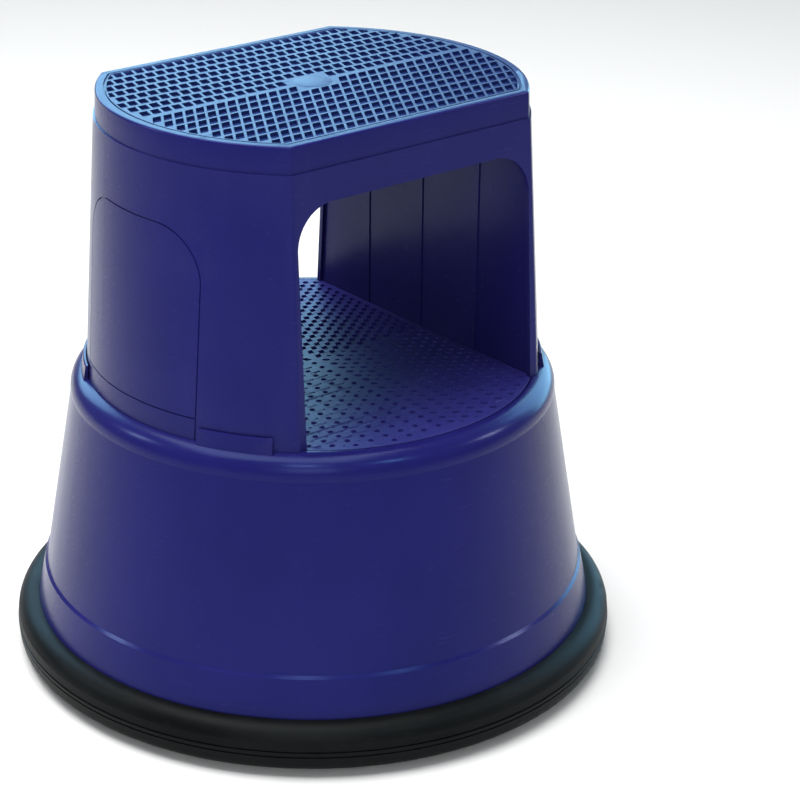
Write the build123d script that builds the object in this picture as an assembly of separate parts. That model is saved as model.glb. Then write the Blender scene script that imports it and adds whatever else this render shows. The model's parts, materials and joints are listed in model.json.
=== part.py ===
from build123d import *
import math
import os

# Kick step stool. Millimetres, +Z up, floor at z = 0, origin on the floor at the stool's centre.
# X runs along the straight edges of the top step, the front face looks towards -Y.

# overall
HEIGHT = 430.0
BASE_RADIUS = 225.5
WALL = 3.5
SEAT_GAP = 0.1

# castors
CASTOR_COUNT = 3
CASTOR_CIRCLE = 150.0
CASTOR_FIRST_ANGLE = 90.0
WHEEL_RADIUS = 25.0
TYRE_WIDTH = 20.0
TRAIL = 18.0
TRAVEL = 8.0
BUMPER_LIFT = 6.0
AXLE_RADIUS = 4.0
STEM_RADIUS = 6.0
STUB_RADIUS = 5.0
PISTON_RADIUS = 12.0
RUN_FIT = 0.06
FORK_GAP = 1.5
FORK_SHEET = 2.5

# heights that the castor stack sets
FORK_TOP = 2 * WHEEL_RADIUS + 7.5
BEARING_T = 2.5
FLANGE_T = 3.0
FLANGE_TOP = FORK_TOP + BEARING_T + FLANGE_T
CHASSIS_Z = FLANGE_TOP + TRAVEL + 1.0
CHASSIS_T = 6.0
BUSH_H = 10.0
PISTON_Z = CHASSIS_Z + BUSH_H
PISTON_T = 6.0
SPRING_Z = PISTON_Z + PISTON_T
SPRING_H = 28.0
SOCKET_TOP = SPRING_Z + SPRING_H
SOCKET_WALL = 4.0

# drum
DRUM_STEP_Z = 0.158 * HEIGHT
DRUM_STEP_RADIUS = BASE_RADIUS - 24.5
DRUM_LIP = 2.0
SKIRT_Z = BUMPER_LIFT + 32.0
SKIRT_RADIUS = BASE_RADIUS - 16.6
SKIRT_END_Z = BUMPER_LIFT + 8.0
TREAD_Z = 0.512 * HEIGHT
TREAD_T = 4.0
DECK_TOP = TREAD_Z - TREAD_T
DECK_T = 4.0
SHOULDER_Z = TREAD_Z - 17.0
DRUM_TOP_RADIUS = DRUM_STEP_RADIUS - 0.17 * (SHOULDER_Z - DRUM_STEP_Z)
RIM_RADIUS = DRUM_TOP_RADIUS - 15.0
TREAD_RADIUS = RIM_RADIUS - 1.0

# upper body
SEAM_Z = HEIGHT - 19.0
SIDE_DRAFT = 0.0625
BODY_RADIUS = RIM_RADIUS - 9.1
BODY_FLAT = 113.3
CAP_STEP = 1.2
CORNER_ROUND = 4.0
ARCH_HALF = 102.0
ARCH_TOP = HEIGHT - 42.0
ARCH_ROUND = 30.0
INNER_WALL_X = 104.5
INNER_WALL_T = 3.0
WALL_GROOVES = (-62.0, 0.0, 62.0)
PANEL_HALF = 66.0
PANEL_TOP = HEIGHT - 62.0
PANEL_ROUND = 38.0
FOOT_LINE_Z = TREAD_Z + 15.5
COLLAR_Z = TREAD_Z + 10.0
COLLAR_FROM = 24.5
COLLAR_TO = 43.0
FOOT_ANGLES = (-31.0, 0.0, 31.0, 149.0, 180.0, 211.0)
CHASSIS_SCREW_ANGLES = (30.0, 65.0, 115.0, 150.0, 185.0, 235.0, 270.0, 305.0, 355.0)
SCREW_RADIUS = 2.2
SCREW_HOLE = SCREW_RADIUS + 0.06


def closed_face(points):
    """Flat face from a closed run of points; a point list of three makes an arc to its last point."""
    edges = []
    last = points[0]
    for step in points[1:]:
        if len(step) == 2:
            edges.append(ThreePointArc(last, step[0], step[1]))
            last = step[1]
        else:
            edges.append(Line(last, step))
            last = step
    if (Vector(*last) - Vector(*points[0])).length > 1e-6:
        edges.append(Line(last, points[0]))
    return make_face(edges)


def turned(points):
    """Solid of revolution about Z from (radius, z) points; a pair of points makes an arc."""
    lifted = []
    for p in points:
        if isinstance(p[0], tuple):
            lifted.append(((p[0][0], 0, p[0][1]), (p[1][0], 0, p[1][1])))
        else:
            lifted.append((p[0], 0, p[1]))
    return revolve(closed_face(lifted), Axis.Z, 360)


def rod(x, y, radius, z0, z1):
    return Pos(x, y, (z0 + z1) / 2) * Cylinder(radius, z1 - z0)


def slab(y0, z0, y1, z1):
    """Block with drafted front and rear faces, long in X."""
    face = closed_face([(0, -y0, z0), (0, y0, z0), (0, y1, z1), (0, -y1, z1)])
    return extrude(face, amount=300, both=True)


def body_radius(z):
    return BODY_RADIUS + SIDE_DRAFT * (SEAM_Z - z)


def body_flat(z):
    return BODY_FLAT + SIDE_DRAFT * (SEAM_Z - z)


def double_d(z0, z1, inset, corner):
    """Round body with two flats, drafted outwards towards the floor."""
    cone = turned([(0, z0), (body_radius(z0) - inset, z0), (body_radius(z1) - inset, z1), (0, z1)])
    solid = cone & slab(body_flat(z0) - inset, z0, body_flat(z1) - inset, z1)
    if corner > 0:
        upright = [e for e in solid.edges() if e.bounding_box().size.Z > 0.9 * (z1 - z0)]
        upright = [e for e in upright if abs(e.center().Y) > 10 and abs(e.center().X) > 10]
        solid = fillet(upright, corner)
    return solid


def arch(half, z0, z1, radius):
    """Arch outline standing in the XZ plane."""
    k = radius * (1 - math.sqrt(0.5))
    return closed_face([
        (-half, 0, z0), (half, 0, z0), (half, 0, z1 - radius),
        ((half - k, 0, z1 - k), (half - radius, 0, z1)),
        (-half + radius, 0, z1),
        ((-half + k, 0, z1 - k), (-half, 0, z1 - radius)),
    ])


def screw(x, y, z_seat, length, head_below):
    """Pan head screw; the head sits under or over the seat plane."""
    shank_end = z_seat + length if head_below else z_seat - length
    head_end = z_seat - 2.8 if head_below else z_seat + 2.8
    shank = rod(x, y, SCREW_RADIUS, min(z_seat, shank_end), max(z_seat, shank_end))
    head = rod(x, y, 4.4, min(z_seat, head_end), max(z_seat, head_end))
    head = fillet(head.edges().filter_by(GeomType.CIRCLE).sort_by(Axis.Z)[0 if head_below else -1], 1.2)
    drive = Pos(x, y, head_end) * Box(5.0, 1.0, 2.2) + Pos(x, y, head_end) * Box(1.0, 5.0, 2.2)
    return (shank + head) - drive


def on_circle(radius, degrees):
    a = math.radians(degrees)
    return radius * math.cos(a), radius * math.sin(a)


def drum_outer(z):
    return DRUM_STEP_RADIUS - 0.17 * (z - DRUM_STEP_Z)


def make_drum():
    top_mid = (DRUM_TOP_RADIUS - 3.6, TREAD_Z - 4.6)
    shell = turned([
        (SKIRT_RADIUS, SKIRT_END_Z),
        (SKIRT_RADIUS, SKIRT_Z),
        (DRUM_STEP_RADIUS + DRUM_LIP, DRUM_STEP_Z - 2.0),
        (DRUM_STEP_RADIUS, DRUM_STEP_Z),
        (DRUM_TOP_RADIUS, SHOULDER_Z),
        (top_mid, (RIM_RADIUS + 1.5, TREAD_Z)),
        (RIM_RADIUS, TREAD_Z),
        (RIM_RADIUS, DECK_TOP),
        (0, DECK_TOP),
        (0, DECK_TOP - DECK_T),
        (RIM_RADIUS - 6.0, DECK_TOP - DECK_T),
        ((RIM_RADIUS + 4.5, DECK_TOP - DECK_T - 4.5), (DRUM_TOP_RADIUS - WALL, SHOULDER_Z - 3.0)),
        (DRUM_STEP_RADIUS - WALL, DRUM_STEP_Z),
        (SKIRT_RADIUS - WALL, SKIRT_Z),
        (SKIRT_RADIUS - WALL, SKIRT_END_Z),
    ])
    # seats for the two legs, down to the deck
    legs = double_d(DECK_TOP, DECK_TOP + 30, -0.3, 0)
    for side in (-1, 1):
        shell -= legs & leg_zone(side, 0.3)
    # posts for the chassis screws, grown from the wall
    boss_circle = drum_outer(CHASSIS_Z + 30) - WALL - 5.0
    for angle in CHASSIS_SCREW_ANGLES:
        x, y = on_circle(boss_circle, angle)
        z0 = CHASSIS_Z + CHASSIS_T
        post = rod(x, y, 6.5, z0, z0 + 30)
        fin = Rot(0, 0, angle) * Pos(boss_circle + 4.5, 0, z0 + 15) * Box(7, 3, 30)
        inside = turned([
            (0, z0 - 1), (drum_outer(z0 - 1) - 1, z0 - 1),
            (drum_outer(z0 + 35) - 1, z0 + 35), (0, z0 + 35),
        ])
        shell += (post + fin) & inside
        shell -= rod(x, y, SCREW_HOLE, z0 - 1, z0 + 17)
    # ribs under the deck
    for k in range(6):
        rib = Rot(0, 0, 60 * k) * Pos(90, 0, DECK_TOP - DECK_T - 5) * Box(140, 2.5, 12)
        shell += rib
    for angle in FOOT_ANGLES:
        x, y = on_circle(body_radius(DECK_TOP) - 8.2, angle)
        shell -= rod(x, y, SCREW_HOLE, DECK_TOP - DECK_T - 12, DECK_TOP + 1)
        shell -= rod(x, y, 5.2, DECK_TOP - DECK_T - 14, DECK_TOP - DECK_T)
    return shell


def leg_zone(side, gap):
    """Block over one leg, from the arch edge outwards."""
    return Pos(side * (ARCH_HALF - gap + 150), 0, DECK_TOP + 15) * Box(300, 400, 30)


def make_collars():
    """Raised collars that hold the ends of each foot, one solid at each corner."""
    ring = turned([
        (body_radius(DECK_TOP) + 0.6, DECK_TOP + 0.2),
        (body_radius(DECK_TOP) + 4.2, DECK_TOP + 0.2),
        (body_radius(COLLAR_Z) + 2.9, COLLAR_Z - 1.0),
        (body_radius(COLLAR_Z) + 2.1, COLLAR_Z),
        (body_radius(COLLAR_Z) + 0.9, COLLAR_Z),
    ])
    collars = []
    for middle in (0.0, 180.0):
        for side in (-1, 1):
            a0 = math.radians(middle + side * COLLAR_FROM)
            a1 = math.radians(middle + side * COLLAR_TO)
            wedge = closed_face([
                (0, 0, DECK_TOP), (300 * math.cos(a0), 300 * math.sin(a0), DECK_TOP),
                (300 * math.cos(a1), 300 * math.sin(a1), DECK_TOP),
            ])
            wedge = extrude(wedge, amount=40, dir=(0, 0, 1))
            collars.append((ring & wedge).solids()[0])
    return collars


def make_lower_tread():
    disc = rod(0, 0, TREAD_RADIUS, DECK_TOP, TREAD_Z)
    disc = disc & Pos(0, 0, TREAD_Z) * Box(2 * (INNER_WALL_X - 0.8), 400, 40)
    feet = double_d(DECK_TOP, DECK_TOP + 30, -0.6, 0) - double_d(DECK_TOP, DECK_TOP + 30, WALL + 0.5, 0)
    for side in (-1, 1):
        disc -= feet & leg_zone(side, 0.6)
    return disc


def make_upper_shell():
    shell = double_d(DECK_TOP, SEAM_Z, 0, CORNER_ROUND)
    shell -= double_d(DECK_TOP, SEAM_Z, WALL, CORNER_ROUND - 2.0)
    shell -= extrude(arch(ARCH_HALF, DECK_TOP - 20, ARCH_TOP, ARCH_ROUND), amount=300, both=True)
    # top ledge that carries the cap
    seat = double_d(SEAM_Z - 10, SEAM_Z - 7, 1.0, 0) - double_d(SEAM_Z - 10, SEAM_Z - 7, WALL + 3.5, 0)
    shell += seat
    # shallow panel line and foot line on both curved sides
    skin = double_d(DECK_TOP, SEAM_Z, -5.0, 0) - double_d(DECK_TOP, SEAM_Z, 0.9, 0)
    line = arch(PANEL_HALF, DECK_TOP - 20, PANEL_TOP, PANEL_ROUND)
    line -= arch(PANEL_HALF - 1.0, DECK_TOP - 20, PANEL_TOP - 1.0, PANEL_ROUND - 1.0)
    band = Pos(0, 0, FOOT_LINE_Z) * Box(2 * PANEL_HALF - 1.0, 600, 1.0)
    cutter = Rot(0, 0, 90) * (extrude(line, amount=300, both=True) + band)
    for side in (-1, 1):
        half = Pos(side * 130, 0, HEIGHT / 2) * Box(100, 400, HEIGHT)
        shell -= (cutter & skin) & half
    # bosses for the foot screws
    for angle in FOOT_ANGLES:
        x, y = on_circle(body_radius(DECK_TOP) - 8.2, angle)
        shell += rod(x, y, 6.0, DECK_TOP, DECK_TOP + 24) & double_d(DECK_TOP, DECK_TOP + 24, 1.0, 0)
        shell -= rod(x, y, SCREW_HOLE, DECK_TOP - 1, DECK_TOP + 18)
    return shell


def make_inner_wall(side):
    x = side * (INNER_WALL_X + INNER_WALL_T / 2)
    top = SEAM_Z - 12
    wall = Pos(x, 0, (DECK_TOP + top) / 2) * Box(INNER_WALL_T, 400, top - DECK_TOP)
    wall = wall & double_d(DECK_TOP, top, WALL + SEAT_GAP, CORNER_ROUND - 2.0)
    for y in WALL_GROOVES:
        wall -= Pos(side * INNER_WALL_X, y, (DECK_TOP + top) / 2) * Box(2.0, 2.2, top - DECK_TOP + 2)
    # stiffening ribs on the hidden side
    for y in (-90.0, -31.0, 31.0, 90.0):
        rib_x = side * (INNER_WALL_X + INNER_WALL_T + 4)
        wall += Pos(rib_x, y, (DECK_TOP + top) / 2) * Box(8.0, 2.5, top - DECK_TOP)
    return wall


def make_top_cap():
    cone = turned([
        (0, SEAM_Z), (body_radius(SEAM_Z) - CAP_STEP, SEAM_Z),
        (body_radius(HEIGHT) - CAP_STEP + 0.4, HEIGHT), (0, HEIGHT),
    ])
    flat_low = body_flat(SEAM_Z) - CAP_STEP
    flat_high = body_flat(HEIGHT) - CAP_STEP + 0.8
    cap = cone & slab(flat_low, SEAM_Z, flat_high, HEIGHT)
    upright = [e for e in cap.edges() if e.bounding_box().size.Z > 15 and abs(e.center().Y) > 10]
    upright = [e for e in upright if abs(e.center().X) > 10]
    cap = fillet(upright, CORNER_ROUND)
    cap = fillet(cap.faces().sort_by(Axis.Z)[-1].edges(), 1.6)
    cavity = double_d(SEAM_Z, HEIGHT - 5, WALL + 1.2, 0)
    cap -= cavity
    spigot = double_d(SEAM_Z - 6.5, HEIGHT - 8, WALL + 0.25, 0)
    spigot -= double_d(SEAM_Z - 6.5, HEIGHT - 8, WALL + 2.75, 0)
    cap += spigot
    # rib grid under the step
    ribs = Pos(0, 0, HEIGHT - 10) * Cylinder(14, 12)
    for k in range(-3, 4):
        ribs += Pos(k * 38.0, 0, HEIGHT - 10) * Box(2.4, 400, 12)
    for k in range(-2, 3):
        ribs += Pos(0, k * 38.0, HEIGHT - 10) * Box(400, 2.4, 12)
    cap += ribs & double_d(SEAM_Z - 4, HEIGHT - 2, WALL + 1.0, 0)
    # groove round the rim of the step
    groove = double_d(HEIGHT - 1.2, HEIGHT + 4, 6.6, 0) - double_d(HEIGHT - 1.2, HEIGHT + 4, 7.9, 0)
    return cap - groove


def make_bumper():
    seat_in = SKIRT_RADIUS - WALL - SEAT_GAP
    seat_out = SKIRT_RADIUS + SEAT_GAP
    z0 = BUMPER_LIFT
    ring = turned([
        (seat_in - 4.0, z0),
        (BASE_RADIUS - 5.5, z0),
        ((BASE_RADIUS - 1.8, z0 + 2.6), (BASE_RADIUS - 0.8, z0 + 6.0)),
        (BASE_RADIUS, z0 + 14.0),
        (BASE_RADIUS - 0.8, z0 + 22.0),
        ((BASE_RADIUS - 5.6, z0 + 29.2), (seat_out, z0 + 32.0)),
        (seat_out, SKIRT_END_Z),
        (seat_in, SKIRT_END_Z),
        (seat_in, z0 + 20.0),
        (seat_in - 4.0, z0 + 18.0),
    ])
    for z in (z0 + 11.5, z0 + 15.5):
        ring -= turned([
            (BASE_RADIUS - 1.2, z - 0.3), (BASE_RADIUS + 2, z - 1.6),
            (BASE_RADIUS + 2, z + 1.6), (BASE_RADIUS - 1.2, z + 0.3),
        ])
    return ring


def make_chassis():
    outer = drum_outer(CHASSIS_Z + CHASSIS_T) - WALL - 0.6
    plate = turned([
        (CASTOR_CIRCLE - 42, CHASSIS_Z), (outer, CHASSIS_Z),
        (outer, CHASSIS_Z + CHASSIS_T), (outer - 4, CHASSIS_Z + CHASSIS_T),
        (outer - 4, CHASSIS_Z + 3.0), (CASTOR_CIRCLE - 38, CHASSIS_Z + 3.0),
        (CASTOR_CIRCLE - 38, CHASSIS_Z + 14.0), (CASTOR_CIRCLE - 42, CHASSIS_Z + 14.0),
    ])
    boss_circle = drum_outer(CHASSIS_Z + 30) - WALL - 5.0
    for angle in CHASSIS_SCREW_ANGLES:
        x, y = on_circle(boss_circle, angle)
        pad = rod(x, y, 7.0, CHASSIS_Z, CHASSIS_Z + CHASSIS_T) & rod(0, 0, outer, CHASSIS_Z, CHASSIS_Z + CHASSIS_T)
        plate += pad
        plate -= rod(x, y, SCREW_HOLE, CHASSIS_Z - 1, CHASSIS_Z + CHASSIS_T + 1)
    for n in range(CASTOR_COUNT):
        angle = CASTOR_FIRST_ANGLE + 120 * n
        x, y = on_circle(CASTOR_CIRCLE, angle)
        plate += rod(x, y, PISTON_RADIUS + SOCKET_WALL, CHASSIS_Z, SOCKET_TOP + SOCKET_WALL)
        for fin_angle in (0, 90, 180, 270):
            fin = Pos(x, y, CHASSIS_Z + 14) * Rot(0, 0, angle + fin_angle) * Pos(20, 0, 0) * Box(14, 2.5, 24)
            plate += fin
        plate -= rod(x, y, PISTON_RADIUS + RUN_FIT, CHASSIS_Z - 1, SOCKET_TOP)
    return plate


def make_castor(n):
    """Parts of one castor, drawn at the swivel axis with the wheel trailing towards local -X."""
    pad_top = FORK_TOP
    sheet = 3.5
    arm_in = TYRE_WIDTH / 2 + FORK_GAP
    arm_out = arm_in + FORK_SHEET
    parts = {}
    plunger = rod(0, 0, STUB_RADIUS, pad_top - sheet - 3.0, pad_top + BEARING_T)
    plunger += rod(0, 0, 14.0, pad_top + BEARING_T, FLANGE_TOP)
    plunger += rod(0, 0, STEM_RADIUS, FLANGE_TOP, PISTON_Z)
    plunger += rod(0, 0, PISTON_RADIUS, PISTON_Z, SPRING_Z)
    groove_z = pad_top - sheet - 1.6
    plunger -= rod(0, 0, STUB_RADIUS + 1, groove_z - 0.6, groove_z + 0.6) - rod(0, 0, 4.2, groove_z - 1, groove_z + 1)
    parts["castor_plunger"] = plunger
    clip = rod(0, 0, 7.6, groove_z - 0.5, groove_z + 0.5) - rod(0, 0, 4.25, groove_z - 1, groove_z + 1)
    clip -= Pos(8, 0, groove_z) * Box(12, 4.0, 4)
    parts["castor_clip"] = clip
    bush = rod(0, 0, PISTON_RADIUS, CHASSIS_Z, PISTON_Z)
    bush -= rod(0, 0, STEM_RADIUS + RUN_FIT, CHASSIS_Z - 1, PISTON_Z + 1)
    parts["castor_bush"] = bush
    turns = 5
    wire = 1.1
    coil_radius = PISTON_RADIUS - wire - 1.0
    coil = Helix(pitch=(SPRING_H - 2 * wire) / turns, height=SPRING_H - 2 * wire, radius=coil_radius)
    start = coil @ 0
    section = Plane(origin=start, z_dir=coil % 0) * Circle(wire)
    spring = sweep(section, path=coil, is_frenet=True)
    parts["castor_spring"] = Pos(0, 0, SPRING_Z + wire) * spring
    bearing = turned([
        (STUB_RADIUS + 0.5, pad_top), (13.0, pad_top), (13.0, pad_top + BEARING_T - 0.1),
        (STUB_RADIUS + 0.5, pad_top + BEARING_T - 0.1),
    ])
    parts["castor_bearing"] = bearing
    # fork: top pad and two bent cheeks
    pad = Pos(-2.0, 0, pad_top - sheet / 2) * Box(32, 2 * arm_out, sheet)
    pad = fillet(pad.edges().filter_by(Axis.Z), 7.0)
    cheek_outline = closed_face([
        (-16.0, 0, pad_top - 0.5), (12.0, 0, pad_top - 0.5), (6.0, 0, pad_top - 16.0),
        (-TRAIL + 7.0, 0, WHEEL_RADIUS - 4.0),
        ((-TRAIL, 0, WHEEL_RADIUS - 8.0), (-TRAIL - 7.0, 0, WHEEL_RADIUS - 4.0)),
        (-TRAIL - 7.0, 0, WHEEL_RADIUS + 6.0),
    ])
    fork = pad
    for side in (-1, 1):
        cheek = extrude(cheek_outline, amount=FORK_SHEET / 2, both=True)
        fork += Pos(0, side * (arm_in + FORK_SHEET / 2), 0) * cheek
    fork -= rod(0, 0, STUB_RADIUS + RUN_FIT, pad_top - sheet - 1, pad_top + 1)
    across = Rot(90, 0, 0)
    fork -= Pos(-TRAIL, 0, WHEEL_RADIUS) * across * Cylinder(AXLE_RADIUS + 0.02, 2 * arm_out + 4)
    parts["castor_fork"] = fork
    axle = Pos(-TRAIL, 0, WHEEL_RADIUS) * across * Cylinder(AXLE_RADIUS, 2 * arm_out + 6)
    head = Pos(-TRAIL, arm_out + 1.5, WHEEL_RADIUS) * across * Cylinder(6.5, 3.0)
    axle = axle + head
    parts["castor_axle"] = axle
    nut_plane = Plane(origin=(-TRAIL, -arm_out, WHEEL_RADIUS), z_dir=(0, -1, 0))
    nut = extrude(nut_plane * RegularPolygon(6.4, 6), amount=2.8)
    nut -= Pos(-TRAIL, 0, WHEEL_RADIUS) * across * Cylinder(AXLE_RADIUS + 0.02, 80)
    parts["castor_nut"] = nut
    # wheel: hub, web and rim, with the tyre outside
    rim_r = WHEEL_RADIUS - 4.0
    half = TYRE_WIDTH / 2
    wheel = turned([
        (AXLE_RADIUS + RUN_FIT, -half - 0.8), (8.5, -half - 0.8), (8.5, -4.0), (rim_r - 4.0, -3.0),
        (rim_r - 3.0, -half + 1.0), (rim_r, -half + 1.0), (rim_r, half - 1.0), (rim_r - 3.0, half - 1.0),
        (rim_r - 4.0, 3.0), (8.5, 4.0), (8.5, half + 0.8), (AXLE_RADIUS + RUN_FIT, half + 0.8),
    ])
    parts["castor_wheel"] = Pos(-TRAIL, 0, WHEEL_RADIUS) * across * wheel
    tyre = turned([
        (rim_r, -half + 1.0), (rim_r + 0.6, -half), (WHEEL_RADIUS - 1.5, -half + 0.5),
        ((WHEEL_RADIUS - 0.2, -half + 3.5), (WHEEL_RADIUS, -half + 6.0)),
        (WHEEL_RADIUS, half - 6.0),
        ((WHEEL_RADIUS - 0.2, half - 3.5), (WHEEL_RADIUS - 1.5, half - 0.5)),
        (rim_r + 0.6, half), (rim_r, half - 1.0),
    ])
    parts["castor_tyre"] = Pos(-TRAIL, 0, WHEEL_RADIUS) * across * tyre
    angle = CASTOR_FIRST_ANGLE + 120 * n
    x, y = on_circle(CASTOR_CIRCLE, angle)
    place = Pos(x, y, 0) * Rot(0, 0, angle + 20)
    return {name + "_" + str(n + 1): place * shape for name, shape in parts.items()}


def make_screws():
    boss_circle = drum_outer(CHASSIS_Z + 30) - WALL - 5.0
    under = []
    for angle in CHASSIS_SCREW_ANGLES:
        x, y = on_circle(boss_circle, angle)
        under.append(screw(x, y, CHASSIS_Z, 20, True))
    feet = []
    for angle in FOOT_ANGLES:
        x, y = on_circle(body_radius(DECK_TOP) - 8.2, angle)
        feet.append(screw(x, y, DECK_TOP - DECK_T, 18, True))
    return Compound(children=under), Compound(children=feet)


os.makedirs("parts", exist_ok=True)
drum = make_drum()
collars = [solid - drum for solid in make_collars()]
nodes = {
    "lower_drum": drum,
    "foot_collars": Compound(children=[c.solids()[0] for c in collars]),
    "lower_tread": make_lower_tread(),
    "upper_shell": make_upper_shell(),
    "inner_wall_left": make_inner_wall(-1),
    "inner_wall_right": make_inner_wall(1),
    "top_cap": make_top_cap(),
    "bumper_ring": make_bumper(),
    "chassis_ring": make_chassis(),
}
nodes["chassis_screws"], nodes["leg_screws"] = make_screws()
for n in range(CASTOR_COUNT):
    nodes.update(make_castor(n))
for name, shape in nodes.items():
    solids = shape.solids()
    export_step(solids[0] if len(solids) == 1 else Compound(children=list(solids)), f"parts/{name}.step")
    box = shape.bounding_box()
    print(name, len(solids), round(shape.volume), [round(v, 1) for v in (*box.min, *box.max)])
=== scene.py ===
import json
import math

import bmesh
import bpy
from mathutils import Matrix, Vector


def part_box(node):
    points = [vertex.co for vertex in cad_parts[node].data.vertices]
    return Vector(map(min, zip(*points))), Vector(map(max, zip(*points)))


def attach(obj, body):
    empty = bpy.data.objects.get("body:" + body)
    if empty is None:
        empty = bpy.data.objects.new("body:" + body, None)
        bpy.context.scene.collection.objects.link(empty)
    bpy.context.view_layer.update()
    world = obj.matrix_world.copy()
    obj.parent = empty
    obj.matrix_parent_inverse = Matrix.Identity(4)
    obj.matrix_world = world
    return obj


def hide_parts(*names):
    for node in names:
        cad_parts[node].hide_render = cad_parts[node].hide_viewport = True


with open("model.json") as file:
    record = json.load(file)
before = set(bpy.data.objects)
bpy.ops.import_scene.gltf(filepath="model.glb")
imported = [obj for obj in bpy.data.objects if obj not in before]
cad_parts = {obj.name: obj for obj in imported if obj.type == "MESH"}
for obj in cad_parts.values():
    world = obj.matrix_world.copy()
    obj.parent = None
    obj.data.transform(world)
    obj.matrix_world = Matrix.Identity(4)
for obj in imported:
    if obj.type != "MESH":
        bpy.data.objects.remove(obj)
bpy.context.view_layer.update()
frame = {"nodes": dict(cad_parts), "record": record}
NODES = frame["nodes"]

# Places worked out from the frame, in metres.
TOP_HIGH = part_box("top_cap")[1]
STEP_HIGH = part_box("lower_tread")[1]
TOP_Z = TOP_HIGH[2]
STEP_Z = STEP_HIGH[2]
CAP_RADIUS = TOP_HIGH[0]
CAP_FLAT = TOP_HIGH[1]
STEP_RADIUS = STEP_HIGH[1]
STEP_HALF = STEP_HIGH[0]
MM = 0.001

# Cells moulded into the two steps: pitch and size in X and Y, lean in X over one row, depth.
TOP_PITCH = (8.8 * MM, 12.7 * MM)
TOP_LEAN = 7.9 * MM
TOP_CELL = (6.7 * MM, 10.4 * MM)
TOP_DEPTH = 2.4 * MM
TOP_MARGIN = 9.0 * MM
REAR_LEAN_SHARE = 0.34
REAR_LENGTH_SHARE = 0.92
HUB_RADIUS = 14.5 * MM
STRIPE_HALF = 1.6 * MM
STRIPE_EXTRA = 0.6 * MM
KEEP_SHARE = 0.35
STEP_PITCH = (13.1 * MM, 9.3 * MM)
STEP_DEPTH = 1.9 * MM
STEP_MARGIN = 4.5 * MM
STEP_FIRST = 0.85
SLOT_FROM_Y = -0.004
SLOT_SIZE = (4.6 * MM, 5.2 * MM)
SLOT_LEAN = 1.6 * MM
DIMPLE = {"main": 2.45 * MM, "between": 1.25 * MM, "round": 0.86, "turn": 35, "shallow": 0.35}
GRAIN = {"main": 3.0 * MM, "between": 2.0 * MM, "round": 0.66, "turn": -35, "shallow": 0.55}
CORNER_CUT = 0.14
CELL_DRAFT = 0.45 * MM
TANGENT_EVERY = 5.0
TANGENT_TURN = 0.0873
SHARP_DEGREES = 28

# Where the tread finish stops and the body finish begins; on the top step the tread finish carries a
# painted cyan reflection.
UPPER_DEPTH = 3.2 * MM
OUTER_BAND = 4 * MM
FRONT_BAND = 2 * MM

# The hub: number of sides, how far it is sunk, its edge radius and how far it stands proud.
HUB_SIDES = 96
HUB_SUNK = 3.0 * MM
HUB_EDGE = 0.5 * MM
HUB_PROUD = 0.15 * MM
HUB_INSET = 0.4 * MM


# ---------------------------------------------------------------- shader maths

class Amount:
    """A socket that takes part in Python sums."""

    def __init__(self, finish, socket):
        self.finish = finish
        self.socket = socket

    def _math(self, operation, a, b):
        return self.finish.node("ShaderNodeMath", {"operation": operation}, {0: a, 1: b})

    def __add__(self, other):
        return self._math("ADD", self, other)

    __radd__ = __add__

    def __sub__(self, other):
        return self._math("SUBTRACT", self, other)

    def __rsub__(self, other):
        return self._math("SUBTRACT", other, self)

    def __mul__(self, other):
        return self._math("MULTIPLY", self, other)

    __rmul__ = __mul__


class Finish:
    """One material, its shader and the nodes behind it."""

    def __init__(self, name, **constants):
        self.material = bpy.data.materials.new(name)
        self.material.use_nodes = True
        self.tree = self.material.node_tree
        self.shader = self.tree.nodes["Principled BSDF"]
        for key, value in constants.items():
            self.shader.inputs[key.replace("_", " ")].default_value = value
        self.place = self.node("ShaderNodeTexCoord", out="Object")

    def node(self, kind, settings=None, sockets=None, out=0):
        made = self.tree.nodes.new(kind)
        for key, value in (settings or {}).items():
            setattr(made, key, value)
        for key, value in (sockets or {}).items():
            if isinstance(value, Amount):
                self.tree.links.new(value.socket, made.inputs[key])
            else:
                made.inputs[key].default_value = value
        return Amount(self, made.outputs[out])

    def feed(self, name, value):
        self.tree.links.new(value.socket, self.shader.inputs[name])

    def noise(self, scale, detail=3.0, rough=0.5, stretch=(1, 1, 1)):
        place = self.node("ShaderNodeVectorMath", {"operation": "MULTIPLY"}, {0: self.place, 1: stretch})
        sockets = {"Vector": place, "Scale": scale, "Detail": detail, "Roughness": rough}
        return self.node("ShaderNodeTexNoise", None, sockets)

    def grain(self, scale):
        return self.node("ShaderNodeTexVoronoi", None, {"Vector": self.place, "Scale": scale})

    def between(self, value, low, high, to_low=0.0, to_high=1.0):
        sockets = {0: value, 1: low, 2: high, 3: to_low, 4: to_high}
        return self.node("ShaderNodeMapRange", {"clamp": True}, sockets)

    def blend(self, factor, first, second):
        sockets = {0: factor, 6: first, 7: second}
        return self.node("ShaderNodeMix", {"data_type": "RGBA"}, sockets, out=2)

    def edge(self):
        """High on outer edges, where handling wears a part first."""
        return self.between(self.node("ShaderNodeNewGeometry", out="Pointiness"), 0.52, 0.62)

    def bump(self, height, distance, strength=1.0, under=None):
        sockets = {"Height": height, "Distance": distance, "Strength": strength}
        if under:
            sockets["Normal"] = under
        return self.node("ShaderNodeBump", None, sockets)


def colour(r, g, b):
    return (r, g, b, 1.0)


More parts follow.
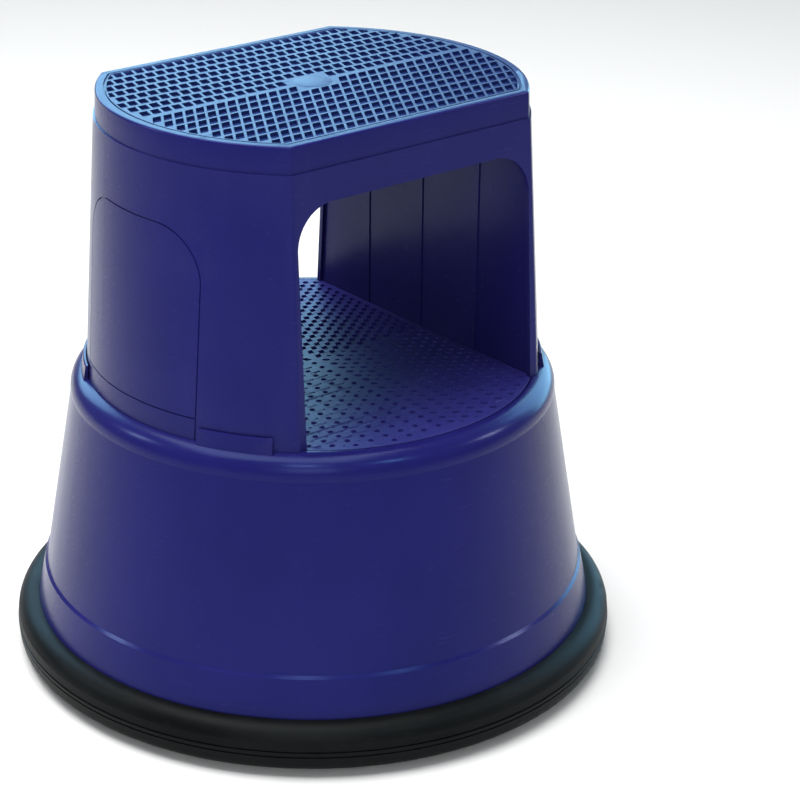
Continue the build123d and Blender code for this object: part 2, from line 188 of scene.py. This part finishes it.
def moulded_plastic(name, deep, lit, gloss, peel=0.00006, scuff=0.10, **constants):
    """Injection-moulded plastic: slow colour drift, orange peel, faint flow lines and scuffs."""
    f = Finish(name, **constants)
    drift = f.noise(9.0, 2.0)
    fine = f.noise(420.0, 2.0, 0.6)
    flow = f.noise(30.0, 4.0, 0.6, stretch=(1, 1, 0.12))
    scratch = f.noise(260.0, 3.0, 0.7, stretch=(0.12, 0.7, 2.0))
    marks = f.between(scratch, 0.63, 0.72)
    shade = f.blend(f.between(drift * 0.6 + flow * 0.4, 0.35, 0.65), deep, lit)
    dusty = tuple(c * 0.8 + 0.03 for c in lit[:3]) + (1.0,)
    shade = f.blend(marks * scuff * 0.5, shade, dusty)
    shade = f.blend(f.edge() * 0.22, shade, dusty)
    f.feed("Base Color", shade)
    f.feed("Roughness", gloss + f.between(flow, 0.3, 0.7) * 0.05 + marks * scuff + fine * 0.04)
    skin = f.bump(f.noise(700.0, 3.0, 0.55), peel, 0.5)
    f.feed("Normal", f.bump(f.noise(34.0, 2.0), 0.0005, 0.10, skin))
    return f.material


def bumper_rubber():
    f = Finish("bumper rubber", IOR=1.45, Specular_IOR_Level=0.08)
    bloom = f.noise(14.0, 4.0, 0.6)
    speck = f.grain(900.0)
    around = f.noise(60.0, 3.0, 0.6, stretch=(1, 1, 6))
    dark, pale = colour(0.0030, 0.0035, 0.0040), colour(0.0065, 0.0080, 0.0085)
    shade = f.blend(f.between(bloom, 0.35, 0.7), dark, pale)
    scuffed = f.between(around, 0.60, 0.74)
    shade = f.blend(scuffed * 0.3, shade, colour(0.018, 0.022, 0.023))
    f.feed("Base Color", shade)
    f.feed("Roughness", 0.40 + f.between(bloom, 0.3, 0.7) * 0.12 + scuffed * 0.15)
    skin = f.bump(speck, 0.00012, 0.35)
    f.feed("Normal", f.bump(around, 0.0004, 0.12, skin))
    return f.material


def tyre_rubber():
    f = Finish("tyre rubber", Specular_IOR_Level=0.3)
    dust = f.noise(120.0, 4.0, 0.65)
    worn = f.between(dust, 0.45, 0.72)
    f.feed("Base Color", f.blend(worn * 0.6, colour(0.018, 0.018, 0.019), colour(0.075, 0.072, 0.068)))
    f.feed("Roughness", 0.58 + worn * 0.25)
    f.feed("Normal", f.bump(f.noise(900.0, 3.0), 0.00012, 0.5))
    return f.material


def zinc_plate():
    f = Finish("zinc plate", Specular_IOR_Level=0.5)
    spangle = f.grain(260.0)
    streak = f.noise(300.0, 3.0, 0.6, stretch=(1, 1, 0.08))
    tone = f.between(spangle * 0.5 + streak * 0.5, 0.2, 0.7)
    stain = f.between(f.noise(70.0, 4.0, 0.7), 0.58, 0.75)
    bright = f.blend(tone, colour(0.42, 0.43, 0.45), colour(0.66, 0.67, 0.68))
    f.feed("Base Color", f.blend(stain * 0.5, bright, colour(0.30, 0.27, 0.20)))
    f.feed("Metallic", 1.0 - stain * 0.35)
    f.feed("Roughness", 0.26 + tone * 0.16 + stain * 0.25)
    f.feed("Normal", f.bump(streak, 0.00008, 0.4))
    return f.material


def spring_steel():
    f = Finish("oiled spring steel", Specular_IOR_Level=0.5)
    drawn = f.noise(500.0, 2.0, 0.6, stretch=(1, 1, 0.3))
    oil = f.between(f.noise(90.0, 3.0), 0.4, 0.7)
    f.feed("Base Color", f.blend(oil, colour(0.30, 0.30, 0.31), colour(0.13, 0.12, 0.11)))
    f.feed("Metallic", 1.0 - oil * 0.2)
    f.feed("Roughness", 0.34 - oil * 0.12 + drawn * 0.08)
    f.feed("Normal", f.bump(drawn, 0.00006, 0.4))
    return f.material


def pale_floor():
    f = Finish("pale floor", Specular_IOR_Level=0.0)
    soft = f.noise(1.2, 3.0)
    tooth = f.noise(260.0, 3.0, 0.6)
    f.feed("Base Color", f.blend(soft, colour(0.90, 0.90, 0.905), colour(0.93, 0.93, 0.93)))
    f.feed("Roughness", 0.86 + tooth * 0.1)
    f.feed("Normal", f.bump(tooth, 0.0001, 0.2))
    return f.material


BODY_BLUE = moulded_plastic(
    "glossy blue body plastic", colour(0.0105, 0.0095, 0.105), colour(0.0140, 0.0125, 0.130), 0.20,
    IOR=1.46, Specular_IOR_Level=0.19, Specular_Tint=colour(0.40, 0.58, 1.0))
# Tread blue: the plastic's own blue with a painted cyan reflection mixed into its colour, shifted green
# against the body blue.
TREAD_BLUE_PAINTED_REFLECTION = moulded_plastic(
    "satin blue tread plastic with painted cyan reflection", colour(0.009, 0.018, 0.098), colour(0.012, 0.024, 0.125), 0.36,
    peel=0.00010, scuff=0.18, IOR=1.46, Specular_IOR_Level=0.20, Specular_Tint=colour(0.40, 0.78, 1.0))
STEP_BLUE = moulded_plastic(
    "satin blue lower tread plastic", colour(0.019, 0.016, 0.145), colour(0.027, 0.023, 0.185), 0.40,
    peel=0.00010, scuff=0.18, IOR=1.46, Specular_IOR_Level=0.28, Specular_Tint=colour(0.45, 0.70, 1.0))
CHASSIS_BLACK = moulded_plastic(
    "black chassis plastic", colour(0.014, 0.014, 0.015), colour(0.024, 0.024, 0.026), 0.45,
    peel=0.00012, Specular_IOR_Level=0.35)
WHEEL_GREY = moulded_plastic(
    "grey wheel plastic", colour(0.17, 0.17, 0.175), colour(0.24, 0.24, 0.245), 0.42,
    Specular_IOR_Level=0.4)
BUSH_WHITE = moulded_plastic(
    "natural acetal", colour(0.58, 0.57, 0.52), colour(0.68, 0.67, 0.62), 0.35,
    Specular_IOR_Level=0.4)
BUMPER_BLACK = bumper_rubber()
TYRE_BLACK = tyre_rubber()
ZINC = zinc_plate()
SPRING = spring_steel()
FLOOR = pale_floor()

FINISH_OF_SLOT = {
    "blue_plastic": BODY_BLUE,
    "tread_plastic": STEP_BLUE,
    "bumper_rubber": BUMPER_BLACK,
    "chassis_plastic": CHASSIS_BLACK,
    "zinc_steel": ZINC,
    "spring_steel": SPRING,
    "wheel_plastic": WHEEL_GREY,
    "tyre_rubber": TYRE_BLACK,
    "bush_plastic": BUSH_WHITE,
}


def finish_nodes():
    """Every carried-over part takes the finish of its slot."""
    slots = {entry["node"]: entry["material_slot"] for entry in frame["record"]["subparts"]}
    for name, node in NODES.items():
        if not node.material_slots:
            node.data.materials.append(None)
        for place in node.material_slots:
            place.material = FINISH_OF_SLOT[slots[name]]


# ---------------------------------------------------------------- moulded steps

def prism(bm, outline, z_top, z_floor, draft):
    """Closed cell cutter: the outline at z_top, drawn in by draft at z_floor."""
    middle = sum((Vector(p) for p in outline), Vector((0.0, 0.0))) / len(outline)
    above = z_top + (z_top - z_floor) * 0.4
    rings = []
    for z, pull in ((above, -draft * 0.4), (z_floor, draft)):
        ring = []
        for p in outline:
            away = Vector(p) - middle
            p = middle + away * max(0.1, 1 - pull / away.length)
            ring.append(bm.verts.new((p.x, p.y, z)))
        rings.append(ring)
    high, low = rings
    bm.faces.new(high)
    bm.faces.new(list(reversed(low)))
    for i in range(len(outline)):
        j = (i + 1) % len(outline)
        bm.faces.new((high[j], high[i], low[i], low[j]))


def leaning_cell(x, y, width, length, lean):
    """Four-sided cell whose long sides lean in X as they run in Y; its corners are cut a little."""
    outline = []
    for u, v in ((-1, -1), (1, -1), (1, 1), (-1, 1)):
        turn = (1 - CORNER_CUT, 1) if u * v > 0 else (1, 1 - CORNER_CUT)
        back = (1, 1 - CORNER_CUT) if u * v > 0 else (1 - CORNER_CUT, 1)
        for a, b in (back, turn):
            pu, pv = u * a, v * b
            outline.append((x + pu * width / 2 + pv * lean / 2, y + pv * length / 2))
    return outline


def oval_cell(x, y, long_half, short_half, angle, sides=8):
    c, s = math.cos(angle), math.sin(angle)
    outline = []
    for k in range(sides):
        t = 2 * math.pi * (k + 0.5) / sides
        u, v = long_half * math.cos(t), short_half * math.sin(t)
        outline.append((x + u * c - v * s, y + u * s + v * c))
    return outline


def area(outline):
    pairs = zip(outline, outline[1:] + outline[:1])
    return abs(sum(a[0] * b[1] - b[0] * a[1] for a, b in pairs)) / 2


def clipped(outline, reach, across):
    """The outline cut by one straight line, keeping the side where across . point < reach."""
    kept = []
    for a, b in zip(outline, outline[1:] + outline[:1]):
        da = reach - (a[0] * across[0] + a[1] * across[1])
        db = reach - (b[0] * across[0] + b[1] * across[1])
        if da > 0:
            kept.append(a)
        if da * db < 0:
            part = da / (da - db)
            kept.append((a[0] + (b[0] - a[0]) * part, a[1] + (b[1] - a[1]) * part))
    return kept


def trimmed(outline, radius, flats):
    """Outline kept inside a circle and its flats; None when too little of it is left."""
    whole = area(outline)
    x, y = outline[0]
    every = math.radians(TANGENT_EVERY)
    edge = every * round(math.atan2(y, x) / every)
    turns = (-TANGENT_TURN, 0.0, TANGENT_TURN)
    lines = [(radius, (math.cos(edge + t), math.sin(edge + t))) for t in turns]
    for reach, across in lines + flats:
        outline = clipped(outline, reach, across)
        if len(outline) < 3:
            return None
    return outline if area(outline) > whole * KEEP_SHARE else None


def inside_top(outline):
    """The cell cut to the top step's margin; None on the hub or the stripe."""
    flat = CAP_FLAT - TOP_MARGIN
    outline = trimmed(outline, CAP_RADIUS - TOP_MARGIN, [(flat, (0, 1)), (flat, (0, -1))])
    if outline is None or min(math.hypot(x, y) for x, y in outline) < HUB_RADIUS:
        return None
    return None if min(abs(y) for x, y in outline) < STRIPE_HALF - 1e-9 else outline


def inside_step(outline):
    """The cell cut to the lower step's margin; None on the stripe."""
    flat = STEP_HALF - STEP_MARGIN
    outline = trimmed(outline, STEP_RADIUS - STEP_MARGIN, [(flat, (1, 0)), (flat, (-1, 0))])
    if outline is None or min(abs(x) for x, y in outline) < STRIPE_HALF + STRIPE_EXTRA:
        return None
    return outline


def top_cells():
    """Cells in straight leaning columns on the front half and in steps on the rear half."""
    cells = []
    rows = int(CAP_FLAT / TOP_PITCH[1]) + 2
    columns = int(CAP_RADIUS / TOP_PITCH[0]) + rows + 4
    for half in (-1, 1):
        lean = TOP_LEAN * (TOP_CELL[1] / TOP_PITCH[1]) if half < 0 else TOP_LEAN * REAR_LEAN_SHARE
        length = TOP_CELL[1] if half < 0 else TOP_CELL[1] * REAR_LENGTH_SHARE
        for row in range(rows):
            y = half * (STRIPE_HALF + (row + 0.5) * TOP_PITCH[1])
            shift = y / TOP_PITCH[1] * TOP_LEAN
            for column in range(-columns, columns + 1):
                x = column * TOP_PITCH[0] + shift
                outline = inside_top(leaning_cell(x, y, TOP_CELL[0], length, lean))
                if outline:
                    cells.append((outline, TOP_DEPTH))
    return cells


def step_cells():
    """Round dimples front left, oval ones front right and staggered leaning slots at the back."""
    cells = []
    columns = int(STEP_HALF / STEP_PITCH[0]) + 2
    rows = int(STEP_RADIUS / STEP_PITCH[1]) + 2
    for row in range(-rows, rows + 1):
        for column in range(4 * columns):
            side = 1 if column % 2 else -1
            main = column // 2 % 2 == 0
            x = side * (column // 2 + STEP_FIRST) * STEP_PITCH[0] / 2
            y = (row + (0.0 if main else 0.5)) * STEP_PITCH[1]
            if y > SLOT_FROM_Y:
                outline = leaning_cell(x, y, SLOT_SIZE[0], SLOT_SIZE[1], side * SLOT_LEAN)
                depth = STEP_DEPTH
            else:
                kind = DIMPLE if x < 0 else GRAIN
                size = kind["main"] if main else kind["between"]
                outline = oval_cell(x, y, size, size * kind["round"], math.radians(kind["turn"]))
                depth = STEP_DEPTH if main else STEP_DEPTH * kind["shallow"]
            outline = inside_step(outline)
            if outline:
                cells.append((outline, depth))
    return cells


def mould_step(name, node, cells, z, tread, side):
    """A step with its cells cut in, in place of the plain part."""
    mesh = NODES[node].data.copy()
    bm = bmesh.new()
    bm.from_mesh(mesh)
    bmesh.ops.remove_doubles(bm, verts=bm.verts, dist=0.5e-6)
    bmesh.ops.dissolve_limit(bm, angle_limit=math.radians(0.4), verts=bm.verts, edges=bm.edges)
    bm.to_mesh(mesh)
    bm.free()
    piece = bpy.data.objects.new(name, mesh)
    bpy.context.scene.collection.objects.link(piece)
    bm = bmesh.new()
    for outline, depth in cells:
        prism(bm, outline, z, z - depth, CELL_DRAFT)
    bmesh.ops.recalc_face_normals(bm, faces=bm.faces)
    tool_mesh = bpy.data.meshes.new(name + "_cells")
    bm.to_mesh(tool_mesh)
    bm.free()
    tool = bpy.data.objects.new(name + "_cells", tool_mesh)
    bpy.context.scene.collection.objects.link(tool)
    cut = piece.modifiers.new("cells", "BOOLEAN")
    cut.operation = "DIFFERENCE"
    cut.solver = "FAST"
    cut.object = tool
    depsgraph = bpy.context.evaluated_depsgraph_get()
    piece.data = bpy.data.meshes.new_from_object(piece.evaluated_get(depsgraph))
    piece.modifiers.clear()
    bpy.data.objects.remove(tool)
    piece.data.name = name
    piece.data.materials.clear()
    piece.data.materials.append(tread)
    piece.data.materials.append(side)
    # On the top step the upward faces take the tread blue with its painted cyan reflection; the rim and
    # sides keep the body blue.
    for face in piece.data.polygons:
        at, facing = face.center, face.normal
        upper = at.z > z - UPPER_DEPTH and facing.z > -0.1
        outer = math.hypot(at.x, at.y) > CAP_RADIUS - OUTER_BAND or abs(at.y) > CAP_FLAT - FRONT_BAND
        rim = node == "top_cap" and abs(facing.z) < 0.9 and outer
        face.material_index = 0 if upper and not rim else 1
    round_over(piece, SHARP_DEGREES)
    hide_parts(node)
    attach(piece, "stool")
    return piece


def seat_hub():
    """Round plain disc in the middle of the top step, with a rounded edge."""
    side = HUB_RADIUS - HUB_INSET
    section = [(side, -HUB_SUNK), (side, -HUB_EDGE)]
    for k in range(5):
        t = math.pi / 2 * k / 4
        r = side - HUB_EDGE + HUB_EDGE * math.cos(t)
        section.append((r, HUB_PROUD - HUB_EDGE + HUB_EDGE * math.sin(t)))
    bm = bmesh.new()
    rings = []
    for r, z in section:
        turns = [2 * math.pi * k / HUB_SIDES for k in range(HUB_SIDES)]
        rings.append([bm.verts.new((r * math.cos(t), r * math.sin(t), TOP_Z + z)) for t in turns])
    for low, high in zip(rings, rings[1:]):
        for i in range(HUB_SIDES):
            j = (i + 1) % HUB_SIDES
            bm.faces.new((low[i], low[j], high[j], high[i]))
    bm.faces.new(rings[-1])
    bm.faces.new(list(reversed(rings[0])))
    bmesh.ops.recalc_face_normals(bm, faces=bm.faces)
    mesh = bpy.data.meshes.new("top_hub")
    bm.to_mesh(mesh)
    bm.free()
    hub = bpy.data.objects.new("top_hub", mesh)
    # The hub takes the tread blue with its painted cyan reflection.
    mesh.materials.append(TREAD_BLUE_PAINTED_REFLECTION)
    bpy.context.scene.collection.objects.link(hub)
    round_over(hub, SHARP_DEGREES)
    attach(hub, "stool")


def round_over(piece, degrees):
    """Smooth shading with crisp real edges."""
    piece.data.shade_smooth()
    piece.data.set_sharp_from_angle(angle=math.radians(degrees))


# ---------------------------------------------------------------- floor, light, camera

def lay_floor():
    half = 7.0
    bm = bmesh.new()
    bmesh.ops.create_grid(bm, x_segments=8, y_segments=8, size=half)
    mesh = bpy.data.meshes.new("studio_floor")
    bm.to_mesh(mesh)
    bm.free()
    floor = bpy.data.objects.new("studio_floor", mesh)
    mesh.materials.append(FLOOR)
    bpy.context.scene.collection.objects.link(floor)


def softbox(name, place, target, size, power, tint, seen_by_matte=True):
    light = bpy.data.lights.new(name, "AREA")
    light.shape = "RECTANGLE"
    light.size, light.size_y = size
    light.energy = power
    light.color = tint
    lamp = bpy.data.objects.new(name, light)
    lamp.location = place
    lamp.rotation_euler = (Vector(target) - Vector(place)).to_track_quat("-Z", "Y").to_euler()
    lamp.visible_diffuse = seen_by_matte
    lamp.visible_camera = False
    bpy.context.scene.collection.objects.link(lamp)


def light_studio():
    world = bpy.data.worlds.new("studio")
    world.use_nodes = True
    air = world.node_tree.nodes["Background"]
    air.inputs["Color"].default_value = (0.85, 0.94, 1.0, 1.0)
    air.inputs["Strength"].default_value = 0.30
    bpy.context.scene.world = world
    middle = (0.0, 0.0, TOP_Z / 2)
    softbox("overhead", (-0.3, 0.3, 2.6), middle, (2.2, 2.2), 105, (1.0, 0.99, 0.97))
    softbox("front_fill", (-1.8, -2.2, 1.5), middle, (1.2, 1.2), 20, (1.0, 0.98, 0.96))
    softbox("right_sky", (2.3, 0.4, 0.9), middle, (1.6, 1.8), 60, (0.30, 0.70, 1.0), False)
    softbox("rear_sky", (0.9, 3.0, 1.7), middle, (3.0, 1.6), 120, (0.35, 0.72, 1.0), False)
    softbox("shoulder_left", (-1.0, -1.1, 1.85), middle, (0.16, 0.30), 9, (0.75, 0.93, 1.0), False)
    softbox("shoulder_front", (0.1, -1.6, 1.75), middle, (0.16, 0.16), 7, (0.5, 0.9, 1.0), False)
    softbox("shoulder_right", (1.6, -1.1, 1.3), middle, (0.16, 0.30), 9, (1.0, 0.90, 0.95), False)
    softbox("shoulder_far", (-1.5, 1.25, 1.35), middle, (0.16, 0.30), 9, (0.85, 0.93, 1.0), False)


# The view: straight camera distance and height from the stool's axis, then its turn, dip and tilt.
VIEW_TURN = math.radians(37.789)
VIEW_DIP = math.radians(23.764)
VIEW_TILT = math.radians(-0.104)
VIEW_AWAY = 1.6066
VIEW_HEIGHT = 0.8934
VIEW_LENS = 106.39
VIEW_SHIFT = 0.1093


def set_camera():
    data = bpy.data.cameras.new("camera")
    data.lens = VIEW_LENS
    data.sensor_width = 36.0
    data.shift_x = VIEW_SHIFT
    camera = bpy.data.objects.new("camera", data)
    turn = Matrix.Rotation(-VIEW_TURN, 4, "Z")
    dip = Matrix.Rotation(math.pi / 2 - VIEW_DIP, 4, "X")
    tilt = Matrix.Rotation(VIEW_TILT, 4, "Z")
    x, y = -VIEW_AWAY * math.sin(VIEW_TURN), -VIEW_AWAY * math.cos(VIEW_TURN)
    place = Matrix.Translation((x, y, VIEW_HEIGHT))
    camera.matrix_world = place @ turn @ dip @ tilt
    bpy.context.scene.collection.objects.link(camera)
    bpy.context.scene.camera = camera
    bpy.context.scene.view_settings.view_transform = "Standard"


finish_nodes()
mould_step("top_step", "top_cap", top_cells(), TOP_Z, TREAD_BLUE_PAINTED_REFLECTION, BODY_BLUE)
mould_step("lower_step", "lower_tread", step_cells(), STEP_Z, STEP_BLUE, STEP_BLUE)
seat_hub()
lay_floor()
light_studio()
set_camera()
